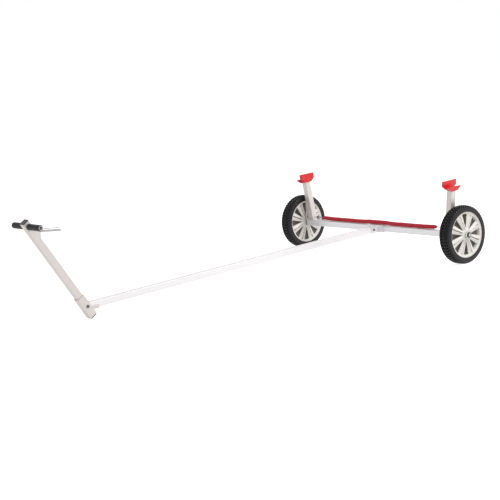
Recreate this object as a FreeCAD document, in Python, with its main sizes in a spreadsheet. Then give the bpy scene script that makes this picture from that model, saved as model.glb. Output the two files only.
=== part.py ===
import FreeCAD, Part
import math
import os
import re

import Sketcher

# Launching trolley for a light dinghy, in millimetres.
# Every piece is built in the chassis frame: origin on the wheels' axis at mid track, +X forward to the
# handle, +Y left, +Z up, main beam level. The whole trolley is then pitched forward onto its foot.

Vector = FreeCAD.Vector
Placement = FreeCAD.Placement
Rotation = FreeCAD.Rotation
X_AXIS = Vector(1, 0, 0)
Y_AXIS = Vector(0, 1, 0)
Z_AXIS = Vector(0, 0, 1)
HALF_TURN = Placement(Vector(), Rotation(Y_AXIS, 180))
SIDES = {"left": 0, "right": 180}

# How near two lengths are to count as the same, and how far apart to count as different, in millimetres.
SAME = 1e-4
APART = 1

DIMENSIONS = {
    # wheels
    "wheel_diameter": 370,
    "tyre_width": 80,
    "tyre_section": 39,
    "tyre_shoulder": 15,
    "tyre_bead": 8,
    "tyre_round": 8,
    "track": 1474,
    "wheel_gap": 9,
    "rim_wall": 5,
    "rim_width": 70,
    "web_wall": 5,
    "web_hub_offset": 40,
    "web_rim_offset": 30,
    "hub_diameter": 50,
    "hub_inboard": 43,
    "hub_outboard": 52,
    "bush_diameter": 30,
    "spoke_count": 8,
    "window_start": 62,
    "window_end": 130,
    "window_start_width": 8,
    "window_end_width": 46,
    "slot_start": 46,
    "slot_end": 134,
    "slot_width": 5,
    # axle
    "axle_diameter": 20,
    "running_gap": 0.06,
    "axle_depth": 90,
    "collar_diameter": 28,
    "clip_diameter": 34,
    "clip_length": 4,
    "clip_gap": 1,
    "axle_tip": 4,
    # square tubes and their fittings
    "tube_side": 40,
    "tube_wall": 3,
    "tube_corner": 2,
    "cap_thickness": 5,
    "insert_gap": 0.2,
    "plug_depth": 40,
    "cap_insert_depth": 15,
    "beam_drop": 4,
    "joint_gap": 0.5,
    "fitting_wall": 3.5,
    "fitting_half": 70,
    "fitting_reach": 60,
    # uprights and gunwale pads
    "upright_inset": 57,
    "upright_lean": 9,
    "upright_length": 266,
    "gusset_rise": 137,
    "gusset_wall": 3,
    "lashing_inset": 15,
    "lashing_width": 12,
    "lashing_base": 8,
    "lashing_rise": 30,
    "pad_length": 128,
    "pad_base_length": 56,
    "pad_width": 52,
    "pad_floor": 12,
    "pad_tall_flange": 60,
    "pad_low_flange": 28,
    "pad_flange_wall": 10,
    "pad_edge": 3,
    "pad_plug_depth": 25,
    # foam support sleeve and the cord through it
    "sleeve_diameter": 29,
    "sleeve_tip_diameter": 18,
    "sleeve_taper": 30,
    "sleeve_inset": 148,
    "sleeve_gap": 0.3,
    "cord_diameter": 6,
    "cord_gap": 0.2,
    # handle post
    "post_bolt_forward": 2362,
    "post_lean": 30.5,
    "post_foot": 76,
    "post_length": 705,
    "socket_start": 8,
    "socket_length": 137,
    "saddle_length": 50,
    "saddle_rise": 16,
    # handle bar and bow spigot
    "bar_drop": 35,
    "bar_diameter": 25,
    "bar_wall": 2,
    "bar_gap": 0.1,
    "bar_half": 140,
    "grip_diameter": 35,
    "grip_half": 137,
    "grip_round": 4,
    "spigot_drop": 80,
    "spigot_slope": 8,
    "spigot_diameter": 22,
    "spigot_wall": 2.5,
    "spigot_reach": 164,
    "boss_diameter": 28,
    "boss_reach": 40,
    "bracket_width": 30,
    "bracket_height": 57,
    "bracket_below": 58,
}

# Sums of the sizes above that more than one piece needs.
TUBE_BORE = "( tube_side - 2 * tube_wall )"
FITTING_BORE = "( tube_side + 2 * joint_gap )"
FITTING_SIDE = "( tube_side + 2 * joint_gap + 2 * fitting_wall )"
FITTING_STACK = "( tube_side / 2 + 2 * joint_gap + fitting_wall )"
AXLE_BEAM_END = "( track / 2 - tyre_width / 2 - wheel_gap )"
AXLE_BEAM_TOP = "( tube_side / 2 - beam_drop )"
UPRIGHT_FOOT = "( track / 2 - tyre_width / 2 - wheel_gap - upright_inset )"
SLEEVE_RISE = "( joint_gap + fitting_wall + sleeve_gap + sleeve_diameter / 2 )"
SLEEVE_HALF = "( track / 2 - tyre_width / 2 - wheel_gap - sleeve_inset )"
RIM_RADIUS = "( wheel_diameter / 2 - tyre_section )"
HUB_LENGTH = "( hub_inboard + hub_outboard )"

doc = FreeCAD.newDocument("dinghy_trolley")
sheet = doc.addObject("Spreadsheet::Sheet", "dims")
for row, (alias, number) in enumerate(DIMENSIONS.items(), 1):
    sheet.set(f"A{row}", alias.replace("_", " "))
    sheet.set(f"B{row}", str(number))
    sheet.setAlias(f"B{row}", alias)
doc.recompute()

pieces = []


# Sizes from the sheet

def size(alias):
    return float(sheet.get(alias))


def named_cell(match):
    word = match.group()
    return "dims." + word if word in DIMENSIONS else word


def bind(item, path, expression):
    """Bind a property to an expression in the names of the driving dimensions."""
    item.setExpression(path, re.sub("[a-z_]+", named_cell, expression))


def upright_foot():
    return size("track") / 2 - size("tyre_width") / 2 - size("wheel_gap") - size("upright_inset")


# Sketches and bodies

def new_body(label):
    body = doc.addObject("PartDesign::Body", label)
    body.Label = label
    return body


def origin_item(body, role):
    return next(item for item in body.Origin.OriginFeatures if item.Role == role)


def new_sketch(body, role, name):
    sketch = body.newObject("Sketcher::SketchObject", f"{body.Name}_{name}")
    sketch.AttachmentSupport = [(origin_item(body, role), "")]
    sketch.MapMode = "FlatFace"
    return sketch


def fix_point(sketch, geometry, end, pair):
    """Hold one point of the sketch at a pair of expressions from its origin."""
    for kind, expression in zip(("DistanceX", "DistanceY"), pair):
        rule = Sketcher.Constraint(kind, -1, 1, geometry, end, 1.0)
        place = sketch.addConstraint(rule)
        bind(sketch, f"Constraints[{place}]", expression)


def add_outline(sketch, points):
    """Close an outline through points given as pairs of expressions."""
    count = len(points)
    first = sketch.GeometryCount
    turn = 2 * math.pi / count
    start = [Vector(math.cos(step * turn), math.sin(step * turn), 0) for step in range(count)]
    for step in range(count):
        sketch.addGeometry(Part.LineSegment(start[step], start[(step + 1) % count]))
    for step in range(count):
        after = first + (step + 1) % count
        sketch.addConstraint(Sketcher.Constraint("Coincident", first + step, 2, after, 1))
    for step, pair in enumerate(points):
        fix_point(sketch, first + step, 1, pair)


def add_square(sketch, side):
    low = f"-1 * {side} / 2"
    high = f"{side} / 2"
    add_outline(sketch, [(low, low), (high, low), (high, high), (low, high)])


def add_circle(sketch, diameter, centre):
    ring = sketch.addGeometry(Part.Circle(Vector(), Z_AXIS, 1))
    place = sketch.addConstraint(Sketcher.Constraint("Diameter", ring, 2.0))
    bind(sketch, f"Constraints[{place}]", diameter)
    fix_point(sketch, ring, 3, centre)


def pad(body, sketch, length, side_type="One side", backwards=False):
    feature = body.newObject("PartDesign::Pad", f"{sketch.Name}_pad")
    feature.Profile = sketch
    feature.SideType = side_type
    feature.Reversed = backwards
    bind(feature, "Length", length)
    doc.recompute()
    return feature


def pocket(body, sketch, length=None):
    """Cut both ways from the sketch: by a length in all, or right through."""
    before = body.Shape.Volume
    feature = body.newObject("PartDesign::Pocket", f"{sketch.Name}_cut")
    feature.Profile = sketch
    feature.SideType = "Symmetric"
    if length is None:
        feature.Type = "ThroughAll"
    else:
        bind(feature, "Length", length)
    doc.recompute()
    if not body.Shape.Volume < before:
        raise RuntimeError(f"{feature.Name} cuts nothing")
    return feature


def revolve(body, sketch):
    """Turn a sketch on the XZ plane about the Z axis."""
    feature = body.newObject("PartDesign::Revolution", f"{sketch.Name}_turn")
    feature.Profile = sketch
    feature.ReferenceAxis = (sketch, ["V_Axis"])
    feature.Angle = 360
    doc.recompute()
    return feature


def ring_of(body, original):
    """Repeat a cut around the body's Z axis, once for each spoke."""
    feature = body.newObject("PartDesign::PolarPattern", f"{original.Name}_ring")
    feature.Originals = [original]
    feature.Axis = (origin_item(body, "Z_Axis"), [""])
    feature.Angle = 360
    bind(feature, "Occurrences", "spoke_count")
    body.Tip = feature
    doc.recompute()


def round_edges(body, name, radius, wanted):
    """Fillet the edges of the body that the test accepts."""
    base = body.Tip
    edges = [f"Edge{index}" for index, edge in enumerate(base.Shape.Edges, 1) if wanted(edge)]
    if not edges:
        raise RuntimeError(f"{body.Name} has no edge for {name}")
    feature = body.newObject("PartDesign::Fillet", f"{body.Name}_{name}")
    feature.Base = (base, edges)
    bind(feature, "Radius", radius)
    doc.recompute()


def runs_along(edge, axis):
    if not isinstance(edge.Curve, Part.Line):
        return False
    ends = edge.Vertexes
    return (ends[1].Point - ends[0].Point).cross(axis).Length < SAME


# Part primitives

def box(name, lengths, corner):
    solid = doc.addObject("Part::Box", name)
    for path, expression in zip(("Length", "Width", "Height"), lengths):
        bind(solid, path, expression)
    for path, expression in zip("xyz", corner):
        bind(solid, f"Placement.Base.{path}", expression)
    return solid


def square_bar(name, side, length, place):
    """A square bar whose axis runs up from a place."""
    solid = doc.addObject("Part::Box", name)
    bind(solid, "Length", side)
    bind(solid, "Width", side)
    bind(solid, "Height", length)
    doc.recompute()
    half = float(solid.Length) / 2
    solid.Placement = place.multiply(Placement(Vector(-half, -half, 0), Rotation()))
    return solid


def round_bar(name, diameter, length, place):
    """A round bar whose axis runs up from a place."""
    solid = doc.addObject("Part::Cylinder", name)
    bind(solid, "Radius", f"{diameter} / 2")
    bind(solid, "Height", length)
    solid.Placement = place
    return solid


def cut(label, base, tool):
    result = doc.addObject("Part::Cut", label)
    result.Base = base
    result.Tool = tool
    result.Label = label
    return result


def fuse(label, shapes):
    result = doc.addObject("Part::MultiFuse", label)
    result.Shapes = shapes
    result.Refine = True
    result.Label = label
    return result


def keep(piece, place):
    """Record a finished piece with its place in the chassis frame."""
    doc.recompute()
    piece.Placement = place
    pieces.append(piece)


# Places in the chassis frame

def turned(side):
    """Right-hand pieces are the left-hand ones turned half a turn about the middle of the axle."""
    return Placement(Vector(), Rotation(Z_AXIS, SIDES[side]))


def across(distance, height=0.0):
    """A place to the left of the middle whose local +Z points outboard and local -Y points up."""
    return Placement(Vector(0, distance, height), Rotation(X_AXIS, -90))


def up_post(distance):
    """A place on the post's axis, a distance above its bolt, whose local +Z runs up the post."""
    lean = math.radians(size("post_lean"))
    forward = size("post_bolt_forward") + distance * math.sin(lean)
    height = distance * math.cos(lean) - size("beam_drop")
    return Placement(Vector(forward, 0, height), Rotation(Y_AXIS, size("post_lean")))


def up_upright(distance):
    """A place on the left upright's axis, a distance above the axle beam, local +Z up the upright."""
    lean = math.radians(size("upright_lean"))
    sideways = upright_foot() + distance * math.sin(lean)
    height = size("tube_side") / 2 - size("beam_drop") + distance * math.cos(lean)
    return Placement(Vector(0, sideways, height), Rotation(X_AXIS, -size("upright_lean")))


# Square tubes, end caps and their fittings

def square_tube(label, length):
    body = new_body(label)
    sketch = new_sketch(body, "XY_Plane", "section")
    add_square(sketch, "tube_side")
    add_square(sketch, TUBE_BORE)
    pad(body, sketch, length)
    half = size("tube_side") / 2

    def outer_corner(edge):
        point = edge.Vertexes[0].Point
        at_corner = abs(abs(point.x) - half) < SAME and abs(abs(point.y) - half) < SAME
        return at_corner and runs_along(edge, Z_AXIS)

    round_edges(body, "corners", "tube_corner", outer_corner)
    return body


def end_cap(label, depth):
    """A plug for a tube's end: flange above the local XY plane, insert below it to a depth."""
    body = new_body(label)
    flange = new_sketch(body, "XY_Plane", "flange")
    add_square(flange, "tube_side")
    pad(body, flange, "cap_thickness")
    insert = new_sketch(body, "XY_Plane", "insert")
    add_square(insert, "( tube_side - 2 * tube_wall - 2 * insert_gap )")
    pad(body, insert, depth, backwards=True)
    return body


def make_main_beam():
    """The beam's front end is cut to the slope of the post socket."""
    middle = f"( post_bolt_forward - {FITTING_STACK} - {FITTING_STACK} / cos(post_lean) )"
    low = f"{middle} - tube_side * tan(post_lean)"
    high = f"{middle} + tube_side * tan(post_lean)"
    body = square_tube("main_beam", f"{middle} + tube_side / 2 * tan(post_lean)")
    sketch = new_sketch(body, "XZ_Plane", "end_slope")
    add_outline(sketch, [("tube_side", low), ("tube_side", high), ("-1 * tube_side", high)])
    pocket(body, sketch)
    start = size("tube_side") / 2 + 2 * size("joint_gap") + size("fitting_wall")
    keep(body, Placement(Vector(start, 0, -size("beam_drop")), Rotation(Y_AXIS, 90)))


def make_centre_fitting():
    """A sleeve around the axle beams with a stub sleeve forward around the main beam."""
    low = f"-1 * {FITTING_SIDE} / 2"
    base = f"{low} - beam_drop"
    bore_low = f"-1 * {FITTING_BORE} / 2"
    bore_base = f"{bore_low} - beam_drop"
    sleeve = box("fitting_sleeve", (FITTING_SIDE, "2 * fitting_half", FITTING_SIDE),
                 (low, "-1 * fitting_half", base))
    stub = box("fitting_stub", (f"{FITTING_SIDE} / 2 + fitting_reach", FITTING_SIDE, FITTING_SIDE),
               ("0", low, base))
    axle_bore = box("fitting_axle_bore", (FITTING_BORE, "4 * fitting_half", FITTING_BORE),
                    (bore_low, "-2 * fitting_half", bore_base))
    beam_bore = box("fitting_beam_bore", ("2 * fitting_reach", FITTING_BORE, FITTING_BORE),
                    (f"{FITTING_SIDE} / 2", bore_low, bore_base))
    outside = fuse("fitting_outside", [sleeve, stub])
    inside = fuse("fitting_inside", [axle_bore, beam_bore])
    keep(cut("centre_fitting", outside, inside), Placement())


def make_axle_beam(side):
    length = f"{AXLE_BEAM_END} - joint_gap - cap_thickness"
    body = square_tube(f"axle_beam_{side}", length)
    keep(body, turned(side).multiply(across(size("joint_gap"), -size("beam_drop"))))


def make_axle_plug(side):
    """The plug that closes the beam's end and carries the stub axle."""
    body = end_cap(f"axle_plug_{side}", "plug_depth")
    sketch = new_sketch(body, "XY_Plane", "bore")
    add_circle(sketch, "( axle_diameter + 2 * bar_gap )", ("0", "-1 * beam_drop"))
    pocket(body, sketch)
    inner_face = upright_foot() + size("upright_inset") - size("cap_thickness")
    keep(body, turned(side).multiply(across(inner_face, -size("beam_drop"))))


def make_stub_axle(side):
    """The pin that the wheel turns on, with a collar that keeps the hub off the beam's end."""
    start = upright_foot() + size("upright_inset")
    shaft_length = (f"track / 2 - {AXLE_BEAM_END} + axle_depth"
                    " + hub_outboard + clip_gap + clip_length + axle_tip")
    shaft = round_bar(f"axle_shaft_{side}", "axle_diameter", shaft_length, across(start - size("axle_depth")))
    collar_length = f"track / 2 - hub_inboard - clip_gap - {AXLE_BEAM_END}"
    collar = round_bar(f"axle_collar_{side}", "collar_diameter", collar_length, across(start))
    keep(fuse(f"stub_axle_{side}", [shaft, collar]), turned(side))


def make_axle_clip(side):
    """The washer and push-on clip that keep the wheel on."""
    start = size("track") / 2 + size("hub_outboard") + size("clip_gap")
    disc = round_bar(f"clip_disc_{side}", "clip_diameter", "clip_length", across(start))
    hole = round_bar(f"clip_hole_{side}", "axle_diameter", "clip_length", across(start))
    keep(cut(f"axle_clip_{side}", disc, hole), turned(side))


# Uprights

def make_upright(side):
    """A tube that leans outboard, cut level where it stands on the axle beam."""
    slope = "tan(upright_lean)"
    body = square_tube(f"upright_tube_{side}", f"upright_length + tube_side / 2 * {slope}")
    sketch = new_sketch(body, "YZ_Plane", "foot_slope")
    low = f"-1 * tube_side / 2 * {slope}"
    high = f"tube_side * 3 / 2 * {slope}"
    add_outline(sketch, [("-1 * tube_side", low), ("tube_side", low), ("tube_side", high)])
    pocket(body, sketch)
    corner_drop = size("tube_side") / 2 * math.tan(math.radians(size("upright_lean")))
    body.Placement = up_upright(-corner_drop)
    inside = across(upright_foot() - size("tube_side"), sleeve_height())
    hole = round_bar(f"cord_hole_{side}", "( cord_diameter + 2 * cord_gap )", "tube_side", inside)
    keep(cut(f"upright_{side}", body, hole), turned(side))


def make_gusset(side):
    """A box gusset that fills the corner between the upright and the end of the axle beam."""
    body = new_body(f"upright_gusset_{side}")
    top = AXLE_BEAM_TOP
    near = f"{UPRIGHT_FOOT} + tube_side / 2 / cos(upright_lean)"
    apex = f"{near} + gusset_rise * tan(upright_lean)"
    apex_height = f"{top} + gusset_rise"
    outline = new_sketch(body, "YZ_Plane", "outline")
    add_outline(outline, [(near, top), (AXLE_BEAM_END, top), (apex, apex_height)])
    pad(body, outline, "tube_side", "Symmetric")
    hollow = new_sketch(body, "YZ_Plane", "hollow")
    add_outline(hollow, [(UPRIGHT_FOOT, top), (f"{AXLE_BEAM_END} - gusset_wall", top),
                         (f"{apex} - gusset_wall", apex_height), (UPRIGHT_FOOT, apex_height)])
    pocket(body, hollow, "tube_side - 2 * gusset_wall")
    slot = new_sketch(body, "YZ_Plane", "lashing_slot")
    high = f"{AXLE_BEAM_END} - lashing_inset"
    low = f"{high} - lashing_width"
    base = f"{top} + lashing_base"
    crown = f"{base} + lashing_rise"
    add_outline(slot, [(low, base), (high, base), (high, crown), (low, crown)])
    pocket(body, slot)
    keep(body, turned(side))


def make_gunwale_pad(side):
    """A moulded channel along X, tall inboard and low outboard, plugged into the upright."""
    body = new_body(f"gunwale_pad_{side}")
    profile = new_sketch(body, "YZ_Plane", "profile")
    inboard = "-1 * pad_width / 2"
    outboard = "pad_width / 2"
    add_outline(profile, [(inboard, "0"), (outboard, "0"), (outboard, "pad_low_flange"),
                          (f"{outboard} - pad_flange_wall", "pad_low_flange"),
                          (f"{outboard} - pad_flange_wall", "pad_floor"),
                          (f"{inboard} + pad_flange_wall", "pad_floor"),
                          (f"{inboard} + pad_flange_wall", "pad_tall_flange"),
                          (inboard, "pad_tall_flange")])
    pad(body, profile, "pad_length", "Symmetric")
    ends = new_sketch(body, "XZ_Plane", "end_slopes")
    for sign in ("1", "-1"):
        base = f"{sign} * pad_base_length / 2"
        tip = f"{sign} * pad_length / 2"
        add_outline(ends, [(base, "0"), (tip, "0"), (tip, "pad_low_flange")])
    pocket(body, ends)
    floor = size("pad_floor")

    def rim_edge(edge):
        return all(vertex.Point.z > floor + APART for vertex in edge.Vertexes)

    round_edges(body, "rim", "pad_edge", rim_edge)
    plug = new_sketch(body, "XY_Plane", "plug")
    add_square(plug, "( tube_side - 2 * tube_wall - 2 * insert_gap )")
    pad(body, plug, "pad_plug_depth", backwards=True)
    keep(body, turned(side).multiply(up_upright(size("upright_length"))))


# Foam sleeve and cord

def sleeve_rise():
    """Height of the sleeve's axis above the axle beam, set by the fitting that it lies on."""
    lift = size("joint_gap") + size("fitting_wall") + size("sleeve_gap")
    return lift + size("sleeve_diameter") / 2


def sleeve_height():
    return size("tube_side") / 2 - size("beam_drop") + sleeve_rise()


def make_support_sleeve():
    body = new_body("support_sleeve")
    sketch = new_sketch(body, "XZ_Plane", "profile")
    bore = "( cord_diameter / 2 + cord_gap )"
    far = SLEEVE_HALF
    add_outline(sketch, [(bore, f"-1 * {far}"), ("sleeve_tip_diameter / 2", f"-1 * {far}"),
                         ("sleeve_diameter / 2", f"sleeve_taper - {far}"),
                         ("sleeve_diameter / 2", f"{far} - sleeve_taper"),
                         ("sleeve_tip_diameter / 2", far), (bore, far)])
    revolve(body, sketch)
    keep(body, across(0, sleeve_height()))


def make_sling_cord():
    """The cord is drawn tight between the uprights and tied off inside them."""
    half = (f"( {UPRIGHT_FOOT} + {SLEEVE_RISE} * tan(upright_lean)"
            " - ( tube_side / 2 - tube_wall ) / cos(upright_lean) )")
    lean = math.radians(size("upright_lean"))
    inner_wall = (size("tube_side") / 2 - size("tube_wall")) / math.cos(lean)
    start = upright_foot() + sleeve_rise() * math.tan(lean) - inner_wall
    cord = round_bar("sling_cord", "cord_diameter", f"2 * {half}", Placement())
    cord.Label = "sling_cord"
    keep(cord, across(-start, sleeve_height()))


# Handle post

def make_post_socket():
    """A sleeve around the foot of the post, with a saddle under the end of the main beam."""
    foot = up_post(size("socket_start") - size("post_foot"))
    sleeve = square_bar("socket_sleeve", FITTING_SIDE, "socket_length", foot)
    rear = f"post_bolt_forward - {FITTING_STACK} / cos(post_lean) - saddle_length"
    channel = box("saddle_channel",
                  (f"saddle_length + {FITTING_STACK} / cos(post_lean) - tube_side / 2", FITTING_SIDE,
                   "fitting_wall + saddle_rise"),
                  (rear, f"-1 * {FITTING_SIDE} / 2", f"-1 * {FITTING_SIDE} / 2 - beam_drop"))
    trough = box("saddle_trough", ("2 * saddle_length", FITTING_BORE, "tube_side"),
                 (rear, f"-1 * {FITTING_BORE} / 2", f"-1 * {FITTING_BORE} / 2 - beam_drop"))
    saddle = cut("saddle", channel, trough)
    outside = fuse("socket_outside", [sleeve, saddle])
    below = up_post(-2 * size("post_foot"))
    bore = square_bar("socket_bore", FITTING_BORE, "post_length", below)
    keep(cut("post_socket", outside, bore), Placement())


def make_handle_post():
    body = square_tube("handle_post", "post_length - 2 * cap_thickness")
    sketch = new_sketch(body, "XZ_Plane", "bar_hole")
    add_circle(sketch, "( bar_diameter + 2 * bar_gap )", ("0", "post_length - cap_thickness - bar_drop"))
    pocket(body, sketch)
    keep(body, up_post(size("cap_thickness") - size("post_foot")))


def make_post_caps():
    top = size("post_length") - size("post_foot") - size("cap_thickness")
    keep(end_cap("post_top_cap", "cap_insert_depth"), up_post(top))
    foot = up_post(size("cap_thickness") - size("post_foot"))
    keep(end_cap("post_foot_cap", "cap_insert_depth"), foot.multiply(HALF_TURN))


def bar_place():
    return up_post(size("post_length") - size("post_foot") - size("bar_drop"))


def make_handle_bar():
    outside = round_bar("bar_outside", "bar_diameter", "2 * bar_half", Placement())
    inside = round_bar("bar_inside", "( bar_diameter - 2 * bar_wall )", "2 * bar_half", Placement())
    centre = bar_place().Base
    start = Placement(Vector(centre.x, -size("bar_half"), centre.z), Rotation(X_AXIS, -90))
    keep(cut("handle_bar", outside, inside), start)


def make_grip(side):
    body = new_body(f"grip_{side}")
    sketch = new_sketch(body, "XY_Plane", "section")
    add_circle(sketch, "grip_diameter", ("0", "0"))
    add_circle(sketch, "( bar_diameter + 2 * bar_gap )", ("0", "0"))
    pad(body, sketch, "grip_half - tube_side / 2 - joint_gap")
    outer_radius = size("grip_diameter") / 2

    def outer_rim(edge):
        return isinstance(edge.Curve, Part.Circle) and abs(edge.Curve.Radius - outer_radius) < SAME

    round_edges(body, "ends", "grip_round", outer_rim)
    centre = bar_place().Base
    start = size("tube_side") / 2 + size("joint_gap")
    sign = math.cos(math.radians(SIDES[side]))
    place = Placement(Vector(centre.x, sign * start, centre.z), Rotation(X_AXIS, -90 * sign))
    keep(body, place)


# Bow spigot

def spigot_distance():
    return size("post_length") - size("post_foot") - size("spigot_drop")


def spigot_place():
    """The spigot's axis, from the middle of the post's rear face down towards the wheels."""
    face = up_post(spigot_distance()).multVec(Vector(-size("tube_side") / 2, 0, 0))
    return Placement(face, Rotation(Y_AXIS, -90 - size("spigot_slope")))


def make_bow_spigot():
    """A plain tube that stands square on the end of the bracket's boss."""
    start = spigot_place().multiply(Placement(Vector(0, 0, size("boss_reach")), Rotation()))
    length = "spigot_reach - boss_reach"
    outside = round_bar("spigot_outside", "spigot_diameter", length, start)
    inside = round_bar("spigot_inside", "( spigot_diameter - 2 * spigot_wall )", length, start)
    keep(cut("bow_spigot", outside, inside), Placement())


def make_spigot_bracket():
    """A wedge on the post's rear face, upright behind and level on top, with a round boss through it."""
    body = new_body("spigot_wedge")
    sketch = new_sketch(body, "XZ_Plane", "outline")
    face = "-1 * tube_side / 2"
    base = "-1 * bracket_below"
    rear = f"{face} - bracket_height * sin(post_lean)"
    add_outline(sketch, [(face, base), (face, f"{base} + bracket_height / cos(post_lean)"),
                         (rear, f"{base} + bracket_height * cos(post_lean)")])
    pad(body, sketch, "bracket_width", "Symmetric")
    body.Placement = up_post(spigot_distance())
    inside_post = Placement(Vector(0, 0, -size("spigot_diameter")), Rotation())
    boss = round_bar("spigot_boss", "boss_diameter", "boss_reach + spigot_diameter",
                     spigot_place().multiply(inside_post))
    outside = fuse("spigot_outside_bracket", [body, boss])
    post = square_bar("spigot_post_face", "tube_side", "post_length", up_post(-size("post_foot")))
    keep(cut("spigot_bracket", outside, post), Placement())


# Wheels

def wheel_place(side):
    return turned(side).multiply(across(size("track") / 2))


def make_tyre(side):
    body = new_body(f"tyre_{side}")
    sketch = new_sketch(body, "XZ_Plane", "profile")
    tread = "wheel_diameter / 2"
    wall = "tyre_width / 2"
    right = [(RIM_RADIUS, "rim_width / 2"), (f"{RIM_RADIUS} + tyre_bead", wall),
             (f"{tread} - tyre_shoulder", wall), (tread, f"{wall} - tyre_shoulder")]
    left = [(radius, f"-1 * ( {offset} )") for radius, offset in reversed(right)]
    add_outline(sketch, right + left)
    revolve(body, sketch)
    shoulder = size("wheel_diameter") / 2 - size("tyre_shoulder")

    def shoulder_edge(edge):
        return isinstance(edge.Curve, Part.Circle) and edge.Curve.Radius > shoulder - APART

    round_edges(body, "shoulders", "tyre_round", shoulder_edge)
    keep(body, wheel_place(side))


def make_rim(side):
    """A moulded rim: barrel, hub and two dished webs, cut by windows and by a slot in each spoke."""
    body = new_body(f"rim_{side}")
    sketch = new_sketch(body, "XZ_Plane", "profile")
    hub = "hub_diameter / 2"
    barrel = f"{RIM_RADIUS} - rim_wall"
    edge = "rim_width / 2"
    add_outline(sketch, [("bush_diameter / 2", "-1 * hub_inboard"), (hub, "-1 * hub_inboard"),
                         (hub, "-1 * web_hub_offset"), (barrel, "-1 * web_rim_offset"),
                         (barrel, f"-1 * {edge}"), (RIM_RADIUS, f"-1 * {edge}"), (RIM_RADIUS, edge),
                         (barrel, edge), (barrel, "web_rim_offset"), (hub, "web_hub_offset"),
                         (hub, "hub_outboard"), ("bush_diameter / 2", "hub_outboard")])
    add_outline(sketch, [(hub, "web_wall - web_hub_offset"), (barrel, "web_wall - web_rim_offset"),
                         (barrel, "web_rim_offset - web_wall"), (hub, "web_hub_offset - web_wall")])
    revolve(body, sketch)
    window = new_sketch(body, "XY_Plane", "window")
    add_outline(window, [("window_start", "-1 * window_start_width / 2"),
                         ("window_end", "-1 * window_end_width / 2"),
                         ("window_end", "window_end_width / 2"),
                         ("window_start", "window_start_width / 2")])
    ring_of(body, pocket(body, window))
    slot = new_sketch(body, "XY_Plane", "slot")
    turn = "( 180 / spoke_count )"
    corners = [("slot_start", "-1"), ("slot_end", "-1"), ("slot_end", "1"), ("slot_start", "1")]
    add_outline(slot, [(f"{reach} * cos{turn} - {way} * slot_width / 2 * sin{turn}",
                        f"{reach} * sin{turn} + {way} * slot_width / 2 * cos{turn}")
                       for reach, way in corners])
    ring_of(body, pocket(body, slot))
    keep(body, wheel_place(side))


def make_hub_bush(side):
    body = new_body(f"hub_bush_{side}")
    sketch = new_sketch(body, "XY_Plane", "section")
    add_circle(sketch, "bush_diameter", ("0", "0"))
    add_circle(sketch, "( axle_diameter + 2 * running_gap )", ("0", "0"))
    pad(body, sketch, HUB_LENGTH)
    start = across(size("track") / 2 - size("hub_inboard"))
    keep(body, turned(side).multiply(start))


# The whole trolley at rest

def rest_on_ground():
    """Pitch the trolley about the wheels' axis until the foot touches, and centre it on the origin."""
    radius = size("wheel_diameter") / 2
    foot = up_post(-size("post_foot")).multVec(Vector(size("tube_side") / 2, 0, 0))
    reach = math.hypot(foot.x, foot.z)
    pitch = math.asin(radius / reach) - math.atan2(-foot.z, foot.x)
    tilt = Placement(Vector(0, 0, radius), Rotation(Y_AXIS, math.degrees(pitch)))
    for piece in pieces:
        piece.Placement = tilt.multiply(piece.Placement)
    extents = [piece.Shape.optimalBoundingBox() for piece in pieces]
    front = max(extent.XMax for extent in extents)
    back = min(extent.XMin for extent in extents)
    centred = Placement(Vector(-(front + back) / 2, 0, 0), Rotation())
    for piece in pieces:
        piece.Placement = centred.multiply(piece.Placement)
    return math.degrees(pitch)


def check_document():
    for item in doc.Objects:
        if "Invalid" in item.State or "Error" in item.State:
            raise RuntimeError(f"{item.Name} failed to build")
    for piece in pieces:
        if piece.Shape.isNull() or not piece.Shape.isValid():
            raise RuntimeError(f"{piece.Label} has no valid shape")


def write_pieces():
    os.makedirs("parts", exist_ok=True)
    for piece in pieces:
        piece.Shape.exportStep(f"parts/{piece.Label}.step")
        solids = len(piece.Shape.Solids)
        print(f"{piece.Label}: {solids} solid, {piece.Shape.Volume / 1000:.1f} cm3")


make_main_beam()
make_centre_fitting()
make_support_sleeve()
make_sling_cord()
make_post_socket()
make_handle_post()
make_post_caps()
make_handle_bar()
make_bow_spigot()
make_spigot_bracket()
for hand in SIDES:
    make_axle_beam(hand)
    make_axle_plug(hand)
    make_stub_axle(hand)
    make_axle_clip(hand)
    make_upright(hand)
    make_gusset(hand)
    make_gunwale_pad(hand)
    make_grip(hand)
    make_tyre(hand)
    make_rim(hand)
    make_hub_bush(hand)
doc.recompute()
pitch_at_rest = rest_on_ground()
check_document()
write_pieces()
print(f"pitched forward {pitch_at_rest:.2f} degrees at rest")
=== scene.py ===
import math

import bmesh
import bpy
from mathutils import Matrix, Vector


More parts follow.
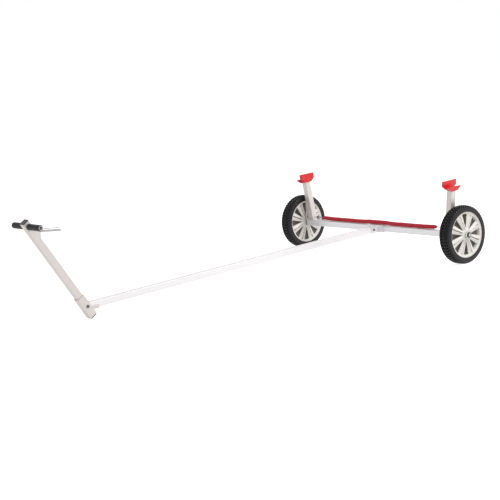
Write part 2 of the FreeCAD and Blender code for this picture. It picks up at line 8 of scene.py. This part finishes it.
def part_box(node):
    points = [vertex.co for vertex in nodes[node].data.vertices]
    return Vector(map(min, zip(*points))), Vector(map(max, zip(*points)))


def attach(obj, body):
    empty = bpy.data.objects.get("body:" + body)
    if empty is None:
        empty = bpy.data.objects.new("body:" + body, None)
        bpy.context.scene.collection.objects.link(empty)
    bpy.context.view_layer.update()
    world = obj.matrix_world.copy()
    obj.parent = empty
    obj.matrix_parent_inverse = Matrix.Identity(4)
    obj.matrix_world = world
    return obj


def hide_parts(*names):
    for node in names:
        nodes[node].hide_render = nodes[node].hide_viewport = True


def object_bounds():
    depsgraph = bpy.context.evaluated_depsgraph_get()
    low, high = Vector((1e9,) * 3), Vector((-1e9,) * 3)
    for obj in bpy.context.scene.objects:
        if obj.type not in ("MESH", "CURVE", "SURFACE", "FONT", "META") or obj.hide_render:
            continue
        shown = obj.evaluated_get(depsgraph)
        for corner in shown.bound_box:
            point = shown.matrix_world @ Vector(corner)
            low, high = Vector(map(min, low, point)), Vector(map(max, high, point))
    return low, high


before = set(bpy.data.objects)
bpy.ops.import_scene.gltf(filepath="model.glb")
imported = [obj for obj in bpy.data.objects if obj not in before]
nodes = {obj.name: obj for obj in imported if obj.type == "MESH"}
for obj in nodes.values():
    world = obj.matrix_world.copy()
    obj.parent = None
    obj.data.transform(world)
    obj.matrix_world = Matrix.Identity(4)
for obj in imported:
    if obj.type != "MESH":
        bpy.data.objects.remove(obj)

cad_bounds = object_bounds()
materials = {}


# Materials

METAL_SHARE = 0.45
RAMP_ENDS = (0.35, 0.65)
SMOOTHER = 0.06
ROUGHER = 0.1
LINE_SCALE = 420
LINE_DEPTH = 0.0003
LINE_STRENGTH = 0.12
GRAINS_PER_BLOTCH = 12
GRAIN_STRENGTH = 0.35
EVEN = (1, 1, 1)
CREASE_DEGREES = 25


def new_material(name, colour, roughness, metallic=0.0):
    """A material in one colour. Returns its node tree and its shader node."""
    material = bpy.data.materials.new(name)
    material.use_nodes = True
    tree = material.node_tree
    shader = tree.nodes["Principled BSDF"]
    shader.inputs["Base Color"].default_value = (*colour, 1)
    shader.inputs["Roughness"].default_value = roughness
    shader.inputs["Metallic"].default_value = metallic
    materials[name] = material
    return tree, shader


def stretched_noise(tree, scale, stretch):
    """Noise in object space, drawn out along the axes where stretch is small."""
    place = tree.nodes.new("ShaderNodeTexCoord")
    mapping = tree.nodes.new("ShaderNodeMapping")
    mapping.inputs["Scale"].default_value = stretch
    noise = tree.nodes.new("ShaderNodeTexNoise")
    noise.inputs["Scale"].default_value = scale
    noise.inputs["Detail"].default_value = 6
    tree.links.new(place.outputs["Object"], mapping.inputs["Vector"])
    tree.links.new(mapping.outputs["Vector"], noise.inputs["Vector"])
    return noise.outputs["Fac"]


def vary_roughness(tree, shader, factor, low, high):
    spread = tree.nodes.new("ShaderNodeMapRange")
    spread.inputs["To Min"].default_value = low
    spread.inputs["To Max"].default_value = high
    tree.links.new(factor, spread.inputs["Value"])
    tree.links.new(spread.outputs["Result"], shader.inputs["Roughness"])


def vary_colour(tree, shader, factor, dark, light):
    ramp = tree.nodes.new("ShaderNodeValToRGB")
    for element, position, colour in zip(ramp.color_ramp.elements, RAMP_ENDS, (dark, light)):
        element.position = position
        element.color = (*colour, 1)
    tree.links.new(factor, ramp.inputs["Fac"])
    tree.links.new(ramp.outputs["Color"], shader.inputs["Base Color"])


def add_bump(tree, shader, factor, depth, strength):
    bump = tree.nodes.new("ShaderNodeBump")
    bump.inputs["Distance"].default_value = depth
    bump.inputs["Strength"].default_value = strength
    tree.links.new(factor, bump.inputs["Height"])
    tree.links.new(bump.outputs["Normal"], shader.inputs["Normal"])


def make_metal(name, colour, roughness, stretch):
    """Extruded or turned metal with fine lines along its length."""
    tree, shader = new_material(name, colour, roughness, METAL_SHARE)
    lines = stretched_noise(tree, LINE_SCALE, stretch)
    vary_roughness(tree, shader, lines, roughness - SMOOTHER, roughness + ROUGHER)
    add_bump(tree, shader, lines, LINE_DEPTH, LINE_STRENGTH)


def make_grained(name, dark, light, roughness, scale, depth, gloss=0.5):
    """A moulded or woven surface: fine grain and a faint shift of colour."""
    tree, shader = new_material(name, light, roughness)
    shader.inputs["Specular IOR Level"].default_value = gloss
    broad = stretched_noise(tree, scale / GRAINS_PER_BLOTCH, EVEN)
    vary_colour(tree, shader, broad, dark, light)
    grain = stretched_noise(tree, scale, EVEN)
    add_bump(tree, shader, grain, depth, GRAIN_STRENGTH)


def make_materials():
    make_metal("aluminium_x", (0.86, 0.84, 0.85), 0.38, (0.02, 1, 1))
    make_metal("aluminium_y", (0.82, 0.81, 0.83), 0.38, (1, 0.02, 1))
    # Painted shade: the same aluminium made darker and warmer, standing in for the shade on the post,
    # socket and uprights.
    make_metal("aluminium_z_painted_shade", (0.7, 0.65, 0.62), 0.42, (1, 1, 0.02))
    make_metal("polished_steel", (0.46, 0.45, 0.45), 0.24, (0.05, 1, 1))
    make_metal("dark_steel", (0.09, 0.09, 0.1), 0.32, (1, 1, 1))
    make_grained("red_plastic", (0.66, 0.018, 0.02), (0.83, 0.03, 0.028), 0.36, 500, 0.0003)
    make_grained("red_foam", (0.52, 0.022, 0.04), (0.64, 0.038, 0.055), 0.85, 700, 0.0012)
    make_grained("black_plastic", (0.016, 0.015, 0.017), (0.03, 0.028, 0.03), 0.45, 600, 0.0003)
    make_grained("grip_rubber", (0.006, 0.006, 0.007), (0.012, 0.01, 0.011), 0.5, 900, 0.0005, 0.25)
    make_grained("tyre_rubber", (0.006, 0.005, 0.006), (0.012, 0.009, 0.011), 0.4, 500, 0.0008, 0.3)
    make_grained("rim_plastic", (0.82, 0.78, 0.72), (0.88, 0.85, 0.8), 0.3, 300, 0.0002)
    # Painted shade: dark plastic laid on the deep valleys between the spokes, where shade falls.
    make_grained("rim_painted_shade", (0.1, 0.09, 0.08), (0.16, 0.145, 0.13), 0.5, 300, 0.0002)
    make_grained("grey_cord", (0.2, 0.2, 0.2), (0.5, 0.5, 0.5), 0.8, 1800, 0.001)


# The post, socket, uprights, gusset and spigot bracket take the darker aluminium copy that carries
# painted shade.
NODE_FINISH = {
    "main_beam": "aluminium_x", "post_socket": "aluminium_z_painted_shade", "handle_post": "aluminium_z_painted_shade",
    "upright": "aluminium_z_painted_shade", "upright_gusset": "aluminium_z_painted_shade", "centre_fitting": "aluminium_y",
    "axle_beam": "aluminium_y", "handle_bar": "aluminium_y", "spigot_bracket": "aluminium_z_painted_shade",
    "bow_spigot": "polished_steel", "stub_axle": "polished_steel", "axle_clip": "black_plastic",
    "axle_plug": "black_plastic", "post_top_cap": "black_plastic", "post_foot_cap": "black_plastic",
    "grip": "grip_rubber", "gunwale_pad": "red_plastic", "support_sleeve": "red_foam",
    "sling_cord": "grey_cord", "tyre": "tyre_rubber", "rim": "rim_plastic", "hub_bush": "black_plastic",
}


def dress_nodes():
    for name, node in nodes.items():
        family = name.removesuffix("_left").removesuffix("_right")
        node.data.materials.clear()
        node.data.materials.append(materials[NODE_FINISH[family]])
        node.data.shade_smooth()
        edges = node.modifiers.new("crisp_edges", "EDGE_SPLIT")
        edges.split_angle = math.radians(CREASE_DEGREES)


# Meshes

def add_mesh(name, points, faces, material, smooth=True):
    mesh = bpy.data.meshes.new(name)
    mesh.from_pydata(points, [], faces)
    mesh.materials.append(materials[material])
    piece = bpy.data.objects.new(name, mesh)
    bpy.context.scene.collection.objects.link(piece)
    if smooth:
        mesh.shade_smooth()
    return piece


def ring_faces(rings, around):
    """Faces of a closed surface made of rings of points, joined end to end."""
    faces = []
    for ring in range(rings):
        after = (ring + 1) % rings
        for step in range(around):
            beside = (step + 1) % around
            faces.append((ring * around + step, ring * around + beside,
                          after * around + beside, after * around + step))
    return faces


def centre_of(node):
    low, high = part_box(node)
    return (low + high) / 2, (high - low) / 2


# Tyres

LUGS = 56
LUG_STEPS = 14
GROOVE_DEPTH = 0.0085
LUG_SHARE = 0.6
LUG_SLANT = 22
TREAD_FROM = 0.72
SECTION_STEPS = 44
WIDTH_POWER = 0.62
HEIGHT_POWER = 0.42
# Inner and outer edge of each row of lugs from the tyre's middle, and the row's phase.
TREAD_ROWS = [(0.0, 0.0095, 0.0), (0.013, 0.0235, 0.5), (0.0275, 0.041, 0.0)]


def lug_height(turn, offset):
    """1 on a lug and 0 in a groove, at a share of the turn and an offset from the tyre's middle."""
    for inner, outer, phase in TREAD_ROWS:
        if inner <= abs(offset) <= outer:
            share = (turn * LUGS + phase + offset * LUG_SLANT) % 1.0
            return 1.0 if share < LUG_SHARE else 0.0
    return 0.0


def tyre_section():
    """Half-shares of width and height around the section, from one bead over the tread to the other."""
    section = []
    for step in range(SECTION_STEPS + 1):
        angle = math.pi * step / SECTION_STEPS
        across = math.copysign(abs(math.cos(angle)) ** WIDTH_POWER, math.cos(angle))
        section.append((across, math.sin(angle) ** HEIGHT_POWER if 0 < step < SECTION_STEPS else 0.0))
    return section


def make_tyre(side):
    centre, half = centre_of(f"tyre_{side}")
    rim_low, rim_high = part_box(f"rim_{side}")
    bead = (rim_high.z - rim_low.z) / 2
    section = tyre_section()
    around = LUGS * LUG_STEPS
    points = []
    for across, height in section:
        offset = across * half.y
        for step in range(around):
            turn = step / around
            radius = bead + height * (half.z - bead)
            if height > TREAD_FROM:
                radius -= GROOVE_DEPTH * (1 - lug_height(turn, offset))
            angle = 2 * math.pi * turn
            points.append((centre.x + radius * math.cos(angle), centre.y + offset,
                           centre.z + radius * math.sin(angle)))
    tyre = add_mesh(f"tread_tyre_{side}", points, ring_faces(len(section), around), "tyre_rubber", False)
    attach(tyre, f"wheel_{side}")
    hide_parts(f"tyre_{side}")


# Wheel rims

SPOKES = 8
SPOKE_STEPS = 64
VALLEY_DEPTH = 0.026
SLOT_DEPTH = 0.018
SLOT_HALF_WIDTH = 0.0022
SLOT_EDGE = 0.0012
VALLEY_EDGE = 0.004
VALLEY_SHARE = 0.72
BLADE_ROOT = 0.0075
BLADE_SPREAD = 0.15
BLADE_FALL = 0.007
HUB_BLEND = (0.034, 0.05)
LIP_BLEND = (0.126, 0.134)
PAINTED_SHADE_FROM = 0.0125
# Depth past which the rim's face is painted dark as shade.
RIM_LIP = 0.035
LIP_RADIUS = 0.1415
FACE_RADIUS = 0.1375
HUB_RADIUS = 0.025
HUB_CHAMFER = 0.002
BORE_RADIUS = 0.0152
DISH_AT_LIP = 0.031
DISH_GROWTH = 0.008
FACE_STEPS = 46


def rise(value, low, high):
    """0 below low, 1 above high and a smooth step between them."""
    share = min(max((value - low) / (high - low), 0.0), 1.0)
    return share * share * (3 - 2 * share)


def spoke_drop(radius, turn):
    """How far the rim's face is let in: a slot along each spoke and a valley between two spokes."""
    sector = (turn * SPOKES) % 1.0 - 0.5
    arc = abs(sector) * 2 * math.pi / SPOKES * radius
    blade = BLADE_ROOT + BLADE_SPREAD * radius
    near_hub = rise(radius, *HUB_BLEND)
    near_lip = 1 - rise(radius, *LIP_BLEND)
    slot = SLOT_DEPTH * (1 - rise(arc, SLOT_HALF_WIDTH, SLOT_HALF_WIDTH + SLOT_EDGE))
    fall = BLADE_FALL * rise(arc, SLOT_HALF_WIDTH, blade)
    valley = VALLEY_DEPTH * rise(arc, blade, blade + VALLEY_EDGE)
    return (max(slot, fall) + valley * VALLEY_SHARE) * near_hub * near_lip


def make_rim(side, way):
    """A moulded rim with twin-bladed spokes, the same on both faces but for a longer outer hub, with
    painted shade in the deep valleys between the spokes.
    """
    low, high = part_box(f"rim_{side}")
    centre = centre_of(f"tyre_{side}")[0]
    barrel = (high.z - low.z) / 2
    around = SPOKES * SPOKE_STEPS
    outboard = high.y - centre.y if way > 0 else centre.y - low.y
    inboard = centre.y - low.y if way > 0 else high.y - centre.y
    faces_of_rim = []
    for step in range(FACE_STEPS + 1):
        share = step / FACE_STEPS
        radius = FACE_RADIUS - share * (FACE_RADIUS - HUB_RADIUS)
        faces_of_rim.append((radius, DISH_AT_LIP + DISH_GROWTH * share))
    outer = [(barrel, RIM_LIP, 0), (LIP_RADIUS, RIM_LIP, 0)]
    outer += [(radius, dish, 1) for radius, dish in faces_of_rim]
    outer += [(HUB_RADIUS, outboard - HUB_CHAMFER, 0), (HUB_RADIUS - HUB_CHAMFER, outboard, 0),
              (BORE_RADIUS, outboard, 0)]
    inner = [(barrel, -RIM_LIP, 0), (LIP_RADIUS, -RIM_LIP, 0)]
    inner += [(radius, -dish, -1) for radius, dish in faces_of_rim]
    inner += [(HUB_RADIUS, -inboard, 0), (BORE_RADIUS, -inboard, 0)]
    section = outer + list(reversed(inner))
    points = []
    for radius, offset, facing in section:
        for step in range(around):
            turn = step / around
            angle = 2 * math.pi * turn
            let_in = offset - facing * spoke_drop(radius, turn) if facing else offset
            points.append((centre.x + radius * math.cos(angle), centre.y + way * let_in,
                           centre.z + radius * math.sin(angle)))
    rim = add_mesh(f"spoked_rim_{side}", points, ring_faces(len(section), around), "rim_plastic")
    # Faces let in deep between the spokes get the dark material: painted shade in the valleys.
    rim.data.materials.append(materials["rim_painted_shade"])
    for face in rim.data.polygons:
        ring, step = divmod(face.index, around)
        radius, _, facing = section[ring]
        if facing and spoke_drop(radius, (step + 0.5) / around) > PAINTED_SHADE_FROM:
            face.material_index = 1
    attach(rim, f"wheel_{side}")
    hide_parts(f"rim_{side}")


# Foam sleeve

SLEEVE_LENGTH_SHARE = 0.97
SLEEVE_RADIUS_SHARE = 0.95
SLEEVE_BORE = 0.0045
SLEEVE_TAPER = 0.03
TIP_SHARE = 0.62
TAPER_POWER = 0.7
SAG = 0.0034
SAG_START = 0.07
SAG_RUN = 0.06
SAG_END = 0.1
UNEVENNESS = 0.0003
UNEVEN_WAVES = (61, 23)
LENGTHWISE = 180
SLEEVE_AROUND = 40


def make_sleeve():
    """Soft foam that lies on the axle beam and rises a little over the centre fitting."""
    centre, half = centre_of("support_sleeve")
    radius = half.z * SLEEVE_RADIUS_SHARE
    reach = half.y * SLEEVE_LENGTH_SHARE
    fast, slow = UNEVEN_WAVES
    rings = []
    for step in range(LENGTHWISE + 1):
        along = -reach + 2 * reach * step / LENGTHWISE
        left = reach - abs(along)
        grown = math.sin(min(left / SLEEVE_TAPER, 1.0) * math.pi / 2) ** TAPER_POWER
        outer = TIP_SHARE * radius + (1 - TIP_SHARE) * radius * grown
        lowered = min(max((abs(along) - SAG_START) / SAG_RUN, 0.0), 1.0) * min(left / SAG_END, 1.0)
        outer -= UNEVENNESS * (1 + math.sin(along * fast) * math.sin(along * slow))
        rings.append((along, outer, -SAG * lowered))
    rings += [(rings[-1][0], SLEEVE_BORE, 0.0), (rings[0][0], SLEEVE_BORE, 0.0)]
    points = []
    for along, outer, drop in rings:
        for step in range(SLEEVE_AROUND):
            angle = 2 * math.pi * step / SLEEVE_AROUND
            points.append((centre.x + outer * math.cos(angle), centre.y + along,
                           centre.z + drop + outer * math.sin(angle)))
    sleeve = add_mesh("foam_sleeve", points, ring_faces(len(rings), SLEEVE_AROUND), "red_foam")
    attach(sleeve, "frame")
    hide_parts("support_sleeve")


# Bolts and hub trim

WASHER_SHARE = 1.5
WASHER_HEIGHT = 0.0014
WASHER_SIDES = 32
HEAD_HEIGHT = 0.005
HEAD_SIDES = 6
BEVEL_SHARE = 0.2
POST_BOLT_RADIUS = 0.0075
POST_BOLT_AHEAD = 0.009
BEAM_BOLT_RADIUS = 0.0062
BEAM_BOLT_AHEAD = 0.036
BEAM_BOLT_BELOW = 0.001
HUB_RING_RADIUS = 0.0262
HUB_RING_HEIGHT = 0.0015
HUB_RING_INSET = 0.0035
HUB_RING_SIDES = 64


def add_disc(name, centre, axis, radius, height, sides, material, body):
    """A bevelled disc or hexagon that stands on a face, facing along an axis."""
    shape = bmesh.new()
    turn = Vector((0, 0, 1)).rotation_difference(axis).to_matrix().to_4x4()
    place = Matrix.Translation(centre + axis.normalized() * height / 2) @ turn
    bmesh.ops.create_cone(shape, cap_ends=True, segments=sides, radius1=radius, radius2=radius,
                          depth=height, matrix=place)
    bmesh.ops.bevel(shape, geom=shape.edges[:], offset=height * BEVEL_SHARE, segments=2, affect="EDGES")
    mesh = bpy.data.meshes.new(name)
    shape.to_mesh(mesh)
    shape.free()
    mesh.materials.append(materials[material])
    piece = bpy.data.objects.new(name, mesh)
    bpy.context.scene.collection.objects.link(piece)
    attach(piece, body)


def add_bolt(name, centre, axis, radius, material):
    add_disc(f"{name}_washer", centre, axis, radius * WASHER_SHARE, WASHER_HEIGHT, WASHER_SIDES,
             "polished_steel", "frame")
    add_disc(f"{name}_head", centre + axis * WASHER_HEIGHT, axis, radius, HEAD_HEIGHT, HEAD_SIDES,
             material, "frame")


def make_bolts():
    """One bolt through the post's socket and one through the centre fitting's stub, which is as wide."""
    socket, socket_half = centre_of("post_socket")
    fitting = centre_of("centre_fitting")[0]
    stub_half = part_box("post_socket")[1].y
    for label, way in (("left", 1), ("right", -1)):
        side = Vector((0, way, 0))
        post_point = Vector((socket.x + POST_BOLT_AHEAD, way * socket_half.y, socket.z))
        add_bolt(f"post_bolt_{label}", post_point, side, POST_BOLT_RADIUS, "dark_steel")
        beam_point = Vector((fitting.x + BEAM_BOLT_AHEAD, way * stub_half, fitting.z - BEAM_BOLT_BELOW))
        add_bolt(f"beam_bolt_{label}", beam_point, side, BEAM_BOLT_RADIUS, "dark_steel")


def make_hub_trim():
    for label, way in (("left", 1), ("right", -1)):
        side = Vector((0, way, 0))
        low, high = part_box(f"rim_{label}")
        centre = (low + high) / 2
        hub_face = high.y if way > 0 else low.y
        ring = Vector((centre.x, hub_face - way * HUB_RING_INSET, centre.z))
        add_disc(f"hub_ring_{label}", ring, side, HUB_RING_RADIUS, HUB_RING_HEIGHT, HUB_RING_SIDES,
                 "black_plastic", f"wheel_{label}")


# Light, floor and camera

FLOOR_SIDE = 60
FLOOR_GAP = 0.0005
FLOOR_GREY = 0.8
FLOOR_GLOW = 0.8
FLOOR_ROUGHNESS = 0.9
WORLD_LIGHT = 0.42
LAMP_SIDE = 3.0
KEY_WATTS = 205
FILL_WATTS = 7


def seen_rays(tree):
    """1 on rays from the camera, or on their way through a mirror or glass, and 0 on light rays."""
    path = tree.nodes.new("ShaderNodeLightPath")
    total = path.outputs["Is Camera Ray"]
    for kind in ("Is Glossy Ray", "Is Transmission Ray"):
        add = tree.nodes.new("ShaderNodeMath")
        add.operation = "ADD"
        add.use_clamp = True
        tree.links.new(total, add.inputs[0])
        tree.links.new(path.outputs[kind], add.inputs[1])
        total = add.outputs[0]
    return total


def make_floor():
    low = cad_bounds[0]
    bpy.ops.mesh.primitive_plane_add(size=FLOOR_SIDE, location=(0, 0, low[2] - FLOOR_GAP))
    floor = bpy.context.object
    floor.name = "floor"
    material = bpy.data.materials.new("floor")
    material.use_nodes = True
    shader = material.node_tree.nodes["Principled BSDF"]
    shader.inputs["Base Color"].default_value = (FLOOR_GREY, FLOOR_GREY, FLOOR_GREY, 1)
    shader.inputs["Roughness"].default_value = FLOOR_ROUGHNESS
    shader.inputs["Emission Color"].default_value = (1, 1, 1, 1)
    seen = seen_rays(material.node_tree)
    glow = material.node_tree.nodes.new("ShaderNodeMath")
    glow.operation = "MULTIPLY"
    glow.inputs[1].default_value = FLOOR_GLOW
    material.node_tree.links.new(seen, glow.inputs[0])
    material.node_tree.links.new(glow.outputs[0], shader.inputs["Emission Strength"])
    floor.data.materials.append(material)


def make_world():
    """White where the camera, a mirror or glass sees it, and softer where it lights the scene."""
    world = bpy.data.worlds.new("world")
    bpy.context.scene.world = world
    world.use_nodes = True
    tree = world.node_tree
    background = tree.nodes["Background"]
    background.inputs["Color"].default_value = (1, 1, 1, 1)
    strength = tree.nodes.new("ShaderNodeMapRange")
    strength.inputs["To Min"].default_value = WORLD_LIGHT
    strength.inputs["To Max"].default_value = 1.0
    tree.links.new(seen_rays(tree), strength.inputs["Value"])
    tree.links.new(strength.outputs["Result"], background.inputs["Strength"])


def add_light(name, place, aim, watts):
    light = bpy.data.lights.new(name, "AREA")
    light.size = LAMP_SIDE
    light.energy = watts
    lamp = bpy.data.objects.new(name, light)
    lamp.location = place
    lamp.rotation_euler = (Vector(aim) - Vector(place)).to_track_quat("-Z", "Y").to_euler()
    bpy.context.scene.collection.objects.link(lamp)


def make_camera():
    """A long lens from the front left, held a little off level."""
    camera = bpy.data.cameras.new("camera")
    camera.lens = 98.35
    camera.sensor_width = 36
    rig = bpy.data.objects.new("camera", camera)
    forward = Vector((-0.63341, -0.75813, -0.15502)).normalized()
    right = forward.cross(Vector((-0.15243, -0.07416, 0.98553))).normalized()
    above = right.cross(forward)
    turn = Matrix((right, above, -forward)).transposed().to_4x4()
    rig.matrix_world = Matrix.Translation((5.199, 6.3883, 1.5106)) @ turn
    bpy.context.scene.collection.objects.link(rig)
    bpy.context.scene.camera = rig


bpy.context.scene.view_settings.view_transform = "Standard"
make_materials()
dress_nodes()
make_floor()
make_world()
add_light("key", (-2.5, 3.5, 4.5), (-0.3, 0, 0.3), KEY_WATTS)
add_light("fill", (5.5, 2.0, 2.5), (0, 0, 0.3), FILL_WATTS)
make_camera()
for hand, outward in (("left", 1), ("right", -1)):
    make_tyre(hand)
    make_rim(hand, outward)
make_sleeve()
make_bolts()
make_hub_trim()
